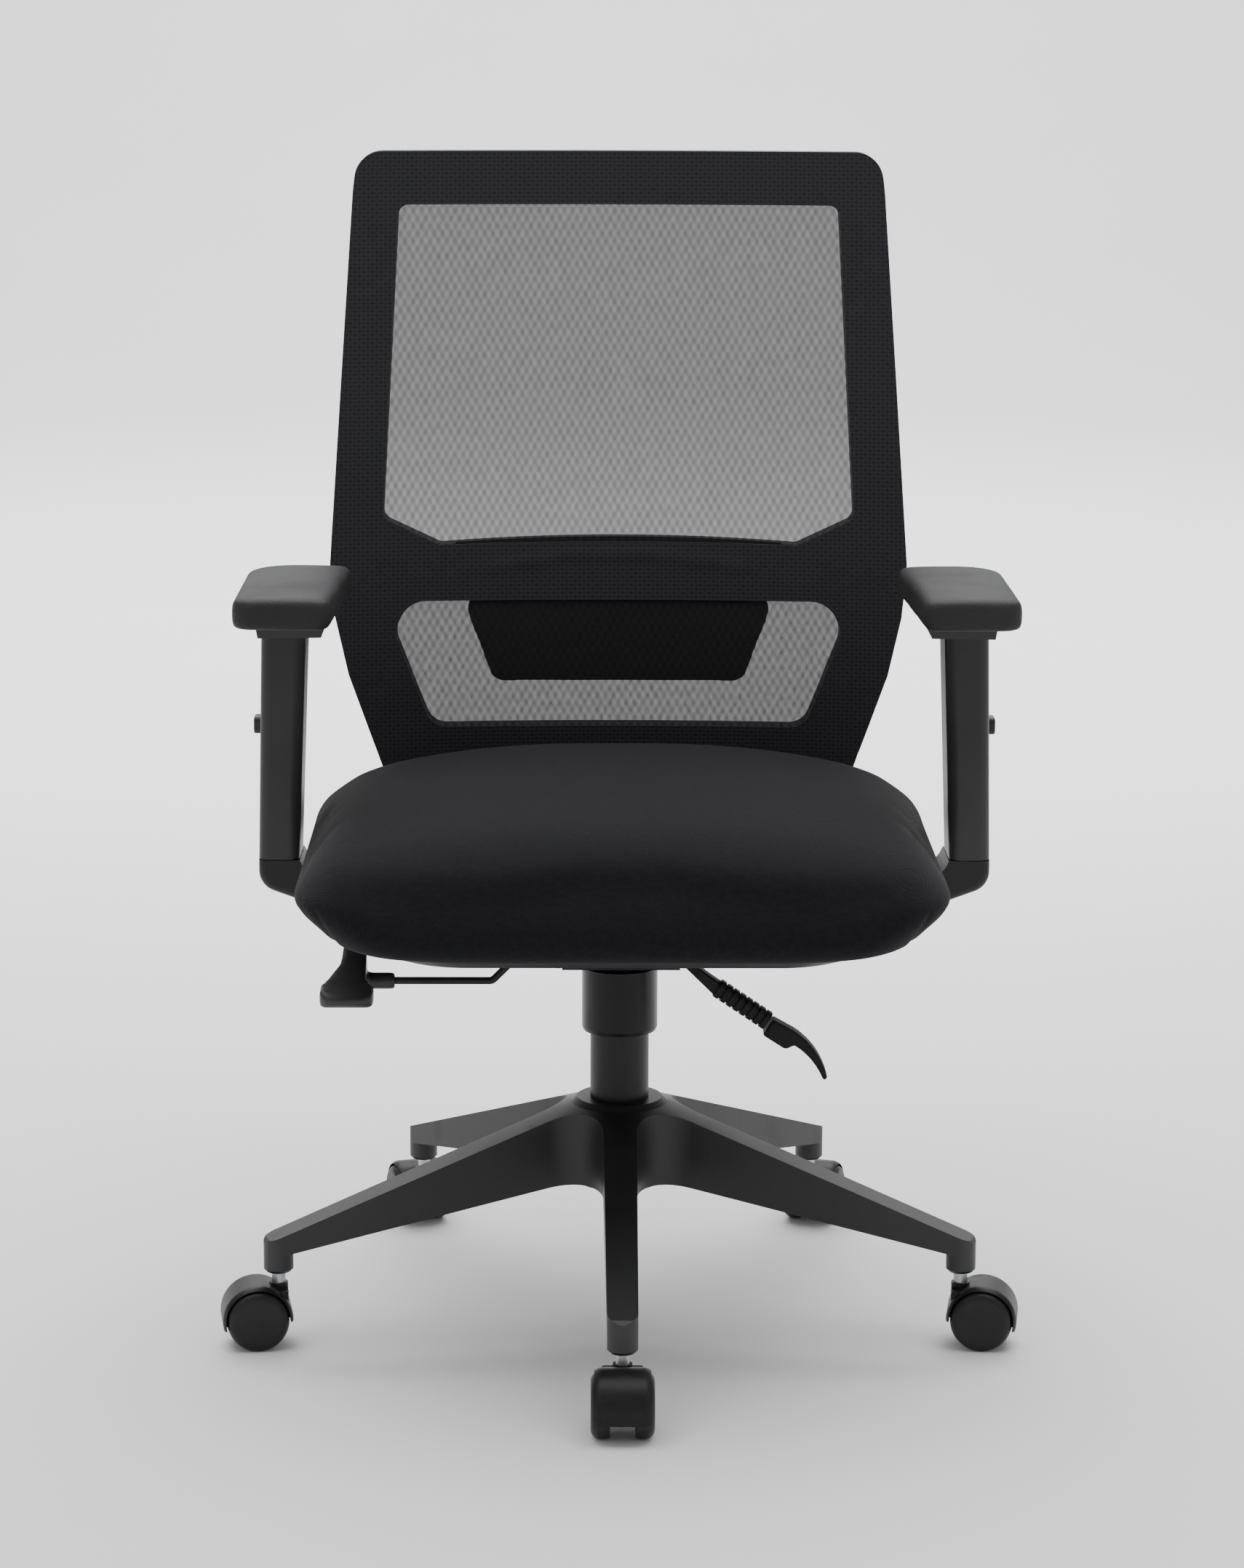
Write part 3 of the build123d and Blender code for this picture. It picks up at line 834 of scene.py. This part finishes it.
@dataclass
class Back:
    """The back: its frame, the knitted cover over it and the open net in its windows."""

    outer: tuple[tuple[float, float], ...] = (
        (0.2245, 0.940), (0.228, 0.905), (0.2465, 0.592), (0.242, 0.550),
        (0.2305, 0.500), (0.201, 0.417), (0.184, 0.374),
    )
    upper: Window = field(default_factory=lambda: Window(
        ((0.189, 0.895), (0.2015, 0.632), (0.153, 0.609)), (0.009, 0.0057, 0.002), 0.005))
    lower: Window = field(default_factory=lambda: Window(
        ((0.180, 0.562), (0.192, 0.536), (0.160, 0.454)), (0.014, 0.0093, 0.0124)))
    outer_rounding: tuple[float, ...] = (0.024, 0.0, 0.005, 0.0, 0.0, 0.0, 0.019)
    arch_rounding: float = 0.14
    panel: tuple[float, float] = (0.52, 0.6)  # cut down to the outline
    panel_middle: float = 0.655
    flat: tuple[float, float] = (0.493, 0.585)
    cover_thick: float = 0.0016
    cell: float = 0.005
    net_cell: float = 0.004
    net_gap: float = 0.0004
    under: float = 0.0042  # how far each net goes under the border
    bow_top: float = 0.6005
    bow_bend: float = 0.9
    bow_height: float = 0.0016
    bow_spread: float = 0.003
    bow_half: float = 0.118
    bow_fade: float = 0.02
    middle: float = 0.65
    usual_lean: float = 0.25

    def __post_init__(self) -> None:
        """Reads the curve of the back's front face from the frame."""
        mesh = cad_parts["back_mesh"].data
        points = [vert.co.copy() for vert in mesh.vertices]
        faces = [tuple(face.vertices) for face in mesh.polygons]
        self.face = BVHTree.FromPolygons(points, faces)

    def front(self, x: float, z: float) -> float:
        """Gives the depth of the cover's front at a place across and up the back.

        A place past the edge of the CAD sheet takes the depth of a place nearer the middle.

        Args:
            x: Place across, in metres.
            z: Height, in metres.

        Returns:
            Its Y, in metres.
        """
        for pull in (1.0, 0.985, 0.96, 0.93, 0.88, 0.8):
            height = self.middle + (z - self.middle) * pull
            hit = self.face.ray_cast(Vector((x * pull, -1.0, height)), Vector((0, 1, 0)))[0]
            if hit is not None:
                return hit.y + self.slope(height) * (z - height)
        return self.usual_lean

    def slope(self, z: float) -> float:
        """Gives how fast the back leans away at height z."""
        step = 0.01
        ends = [self.face.ray_cast(Vector((0, -1, at)), Vector((0, 1, 0)))[0]
                for at in (z - step, z)]
        return self.usual_lean if None in ends else (ends[1].y - ends[0].y) / step

    @staticmethod
    def prism(
        name: str, outline: list[tuple[float, float]], rounding: list[float]
    ) -> bpy.types.Object:
        """Makes a tool the shape of an outline, through the whole depth of the back.

        Args:
            name: Name of the tool.
            outline: Its corners, across and up.
            rounding: Radius at each corner.

        Returns:
            The tool.
        """
        shape = bmesh.new()
        verts = [shape.verts.new((x, -0.1, z)) for x, z in outline]
        shape.faces.new(verts)
        for vert, radius in zip(verts, rounding):
            if radius:
                bmesh.ops.bevel(
                    shape, geom=[vert], offset=radius, affect="VERTICES",
                    segments=7, profile=0.5, material=-1,
                )
        wall = bmesh.ops.extrude_face_region(shape, geom=list(shape.faces))
        moved = [item for item in wall["geom"] if isinstance(item, bmesh.types.BMVert)]
        bmesh.ops.translate(shape, verts=moved, vec=(0, 0.2, 0))
        bmesh.ops.recalc_face_normals(shape, faces=shape.faces)
        return Shop.link(name, shape)

    def bow(self, x: float, z: float) -> float:
        """Gives how far the lumbar pad's top edge lifts the cover at a place, in metres."""
        line = self.bow_top - self.bow_bend * x * x
        fade = max(0.0, min(1.0, (self.bow_half - abs(x)) / self.bow_fade))
        return self.bow_height * fade * math.exp(-(((z - line) / self.bow_spread) ** 2))

    def cover(self) -> None:
        """Makes the cover's border, cut to the frame and its windows."""
        shape = bmesh.new()
        width, height = self.panel
        bmesh.ops.create_grid(
            shape, x_segments=round(width / self.cell), y_segments=round(height / self.cell),
            size=0.5,
        )
        bmesh.ops.transform(
            shape, verts=shape.verts,
            matrix=Matrix.Translation((0, 0, self.panel_middle))
            @ Matrix.Rotation(math.radians(90), 4, "X") @ Matrix.Diagonal((width, height, 1, 1)),
        )
        wall = bmesh.ops.extrude_face_region(shape, geom=list(shape.faces))
        moved = [item for item in wall["geom"] if isinstance(item, bmesh.types.BMVert)]
        bmesh.ops.translate(shape, verts=moved, vec=(0, self.cover_thick, 0))
        bmesh.ops.recalc_face_normals(shape, faces=shape.faces)
        made = Shop.link("back_cover", shape)
        outline = [(-x, z) for x, z in self.outer] + [(x, z) for x, z in reversed(self.outer)]
        rounding = [*self.outer_rounding, *reversed(self.outer_rounding)]
        tools = [self.prism("cut_outer", outline, rounding)]
        for window in (self.upper, self.lower):
            edge = window.outline()
            rounding = [*window.rounding, *reversed(window.rounding)]
            if window.arch:
                half = len(window.corners)
                edge.insert(half, (0.0, window.corners[-1][1] + window.arch))
                rounding.insert(half, self.arch_rounding)
            tools.append(self.prism("cut_window", edge, rounding))
        for tool, act in zip(tools, ("INTERSECT", "DIFFERENCE", "DIFFERENCE")):
            cut = made.modifiers.new("cut", "BOOLEAN")
            cut.operation, cut.object, cut.solver = act, tool, "EXACT"
        Shop.bake(made)
        for tool in tools:
            bpy.data.objects.remove(tool)
        for vert in made.data.vertices:
            x, z = vert.co.x, vert.co.z
            vert.co.y += self.front(x, z) - self.bow(x, z)
        Shop.finish(made, Finish.COVER, "back", "back_mesh_fabric", crease=40)
        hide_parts("back_mesh")

    def net(self, name: str, window: Window, finish: Finish) -> None:
        """Makes the see-through net of one window, tucked in under the border.

        Args:
            name: Name of the piece.
            window: The window it fills.
            finish: Its finish.
        """
        half, low, high = window.spans()
        half, low, high = half + self.under, low - self.under, high + self.under
        width, length = 2 * half, high - low
        shape = bmesh.new()
        bmesh.ops.create_grid(
            shape, x_segments=round(width / self.net_cell),
            y_segments=round(length / self.net_cell), size=0.5,
        )
        for vert in shape.verts:
            z = low + length * (vert.co.y + 0.5)
            x = 2 * vert.co.x * (window.reach(z) + self.under)
            vert.co = (x, self.front(x, z) + self.cover_thick + self.net_gap, z)
        made = Shop.link(name, shape)
        Shop.finish(made, finish, "back", "back_mesh_fabric")
        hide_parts("back_mesh")

    def build(self) -> None:
        """Makes the cover and nets and dresses the frame."""
        Shop.dress(Finish.PLASTIC, "back_frame")
        self.cover()
        self.net("back_net_upper", self.upper, Finish.NET)
        self.net("back_net_lower", self.lower, Finish.NET_LOW)


@dataclass
class Lumbar:
    """The height-adjustable lumbar support behind the cover."""

    voxel: float = 0.0028
    rounds: int = 3

    def build(self) -> None:
        """Makes the pad and dresses its guide studs."""
        made = Shop.link("lumbar_cushion", Shop.copy("lumbar_pad"))
        Shop.remesh(made, self.voxel)
        Shop.soften(made, self.rounds)
        Shop.finish(made, Finish.LUMBAR, "lumbar", "soft_pad")
        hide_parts("lumbar_pad")
        Shop.dress(Finish.PLASTIC, "lumbar_guides")


@dataclass
class Studio:
    """Pale floor that curves up behind, soft light and the camera."""

    place: tuple[float, float, float] = (-0.0358, -3.304, 1.100)
    tilt: float = 78.78
    turn: float = -0.587
    roll: float = -0.2
    lens: float = 95.2
    shift: float = 0.0007
    world: float = 0.42
    bend_from: float = 7.0
    bend: float = 3.0

    def camera(self) -> None:
        """Sets up the camera."""
        data = bpy.data.cameras.new("camera")
        data.lens, data.sensor_width, data.shift_x = self.lens, 36.0, self.shift
        made = bpy.data.objects.new("camera", data)
        made.location = self.place
        made.rotation_euler = tuple(map(math.radians, (self.tilt, self.roll, self.turn)))
        bpy.context.scene.collection.objects.link(made)
        bpy.context.scene.camera = made

    def floor(self) -> None:
        """Lays the floor."""
        shape = bmesh.new()
        bmesh.ops.create_grid(shape, x_segments=8, y_segments=120, size=24)
        for vert in shape.verts:
            past = vert.co.y - self.bend_from
            if past > 0:
                turn = min(past / self.bend, math.pi / 2)
                vert.co.y = self.bend_from + self.bend * math.sin(turn)
                vert.co.z = self.bend * (1 - math.cos(turn)) + max(0.0, past - self.bend * turn)
        made = Shop.link("studio_floor", shape)
        made.data.polygons.foreach_set("use_smooth", [True] * len(made.data.polygons))
        graph = Graph("studio_floor")
        tone = graph.noise(3.0, 2.0)
        made.data.materials.append(graph.surface(
            graph.blend(tone, (0.86, 0.86, 0.86), (0.9, 0.9, 0.9)), 0.9,
            Specular_IOR_Level=0.0,
        ))

    def lamp(self, name: str, at: tuple, aim: tuple, size: float, power: float) -> None:
        """Hangs a square soft light.

        Args:
            name: Name of the light.
            at: Where it hangs.
            aim: The point it faces.
            size: Its side, in metres.
            power: Its power, in watts.
        """
        data = bpy.data.lights.new(name, "AREA")
        data.shape, data.size, data.energy = "SQUARE", size, power
        made = bpy.data.objects.new(name, data)
        made.location = at
        made.rotation_euler = (Vector(aim) - Vector(at)).to_track_quat("-Z", "Y").to_euler()
        made.visible_camera = False
        bpy.context.scene.collection.objects.link(made)

    def build(self) -> None:
        """Sets up floor, lights and camera."""
        self.camera()
        self.floor()
        world = bpy.data.worlds.new("studio")
        world.use_nodes = True
        back = world.node_tree.nodes["Background"]
        back.inputs["Color"].default_value = (1.0, 1.0, 1.0, 1.0)
        back.inputs["Strength"].default_value = self.world
        bpy.context.scene.world = world
        self.lamp("overhead", (0.0, 0.8, 4.0), (0.0, 0.8, 0.0), 5.0, 250)
        self.lamp("backdrop", (0.0, 4.5, 4.5), (0.0, 7.5, 0.0), 6.0, 600)
        self.lamp("key", (-2.2, -2.2, 2.4), (0, 0, 0.5), 1.4, 9)
        self.lamp("fill", (2.4, -1.8, 1.6), (0, 0, 0.5), 1.6, 6)


def main() -> None:
    """Builds the studio and the chair, assembly by assembly."""
    logging.basicConfig(level=logging.INFO, format="%(message)s")
    Studio().build()
    for assembly in (Base(), Casters()):
        assembly.dress()
    for assembly in (Levers(), Seat(), Arms(), Back(), Lumbar()):
        LOG.info("building %s", type(assembly).__name__)
        assembly.build()


if __name__ == "__main__":
    main()
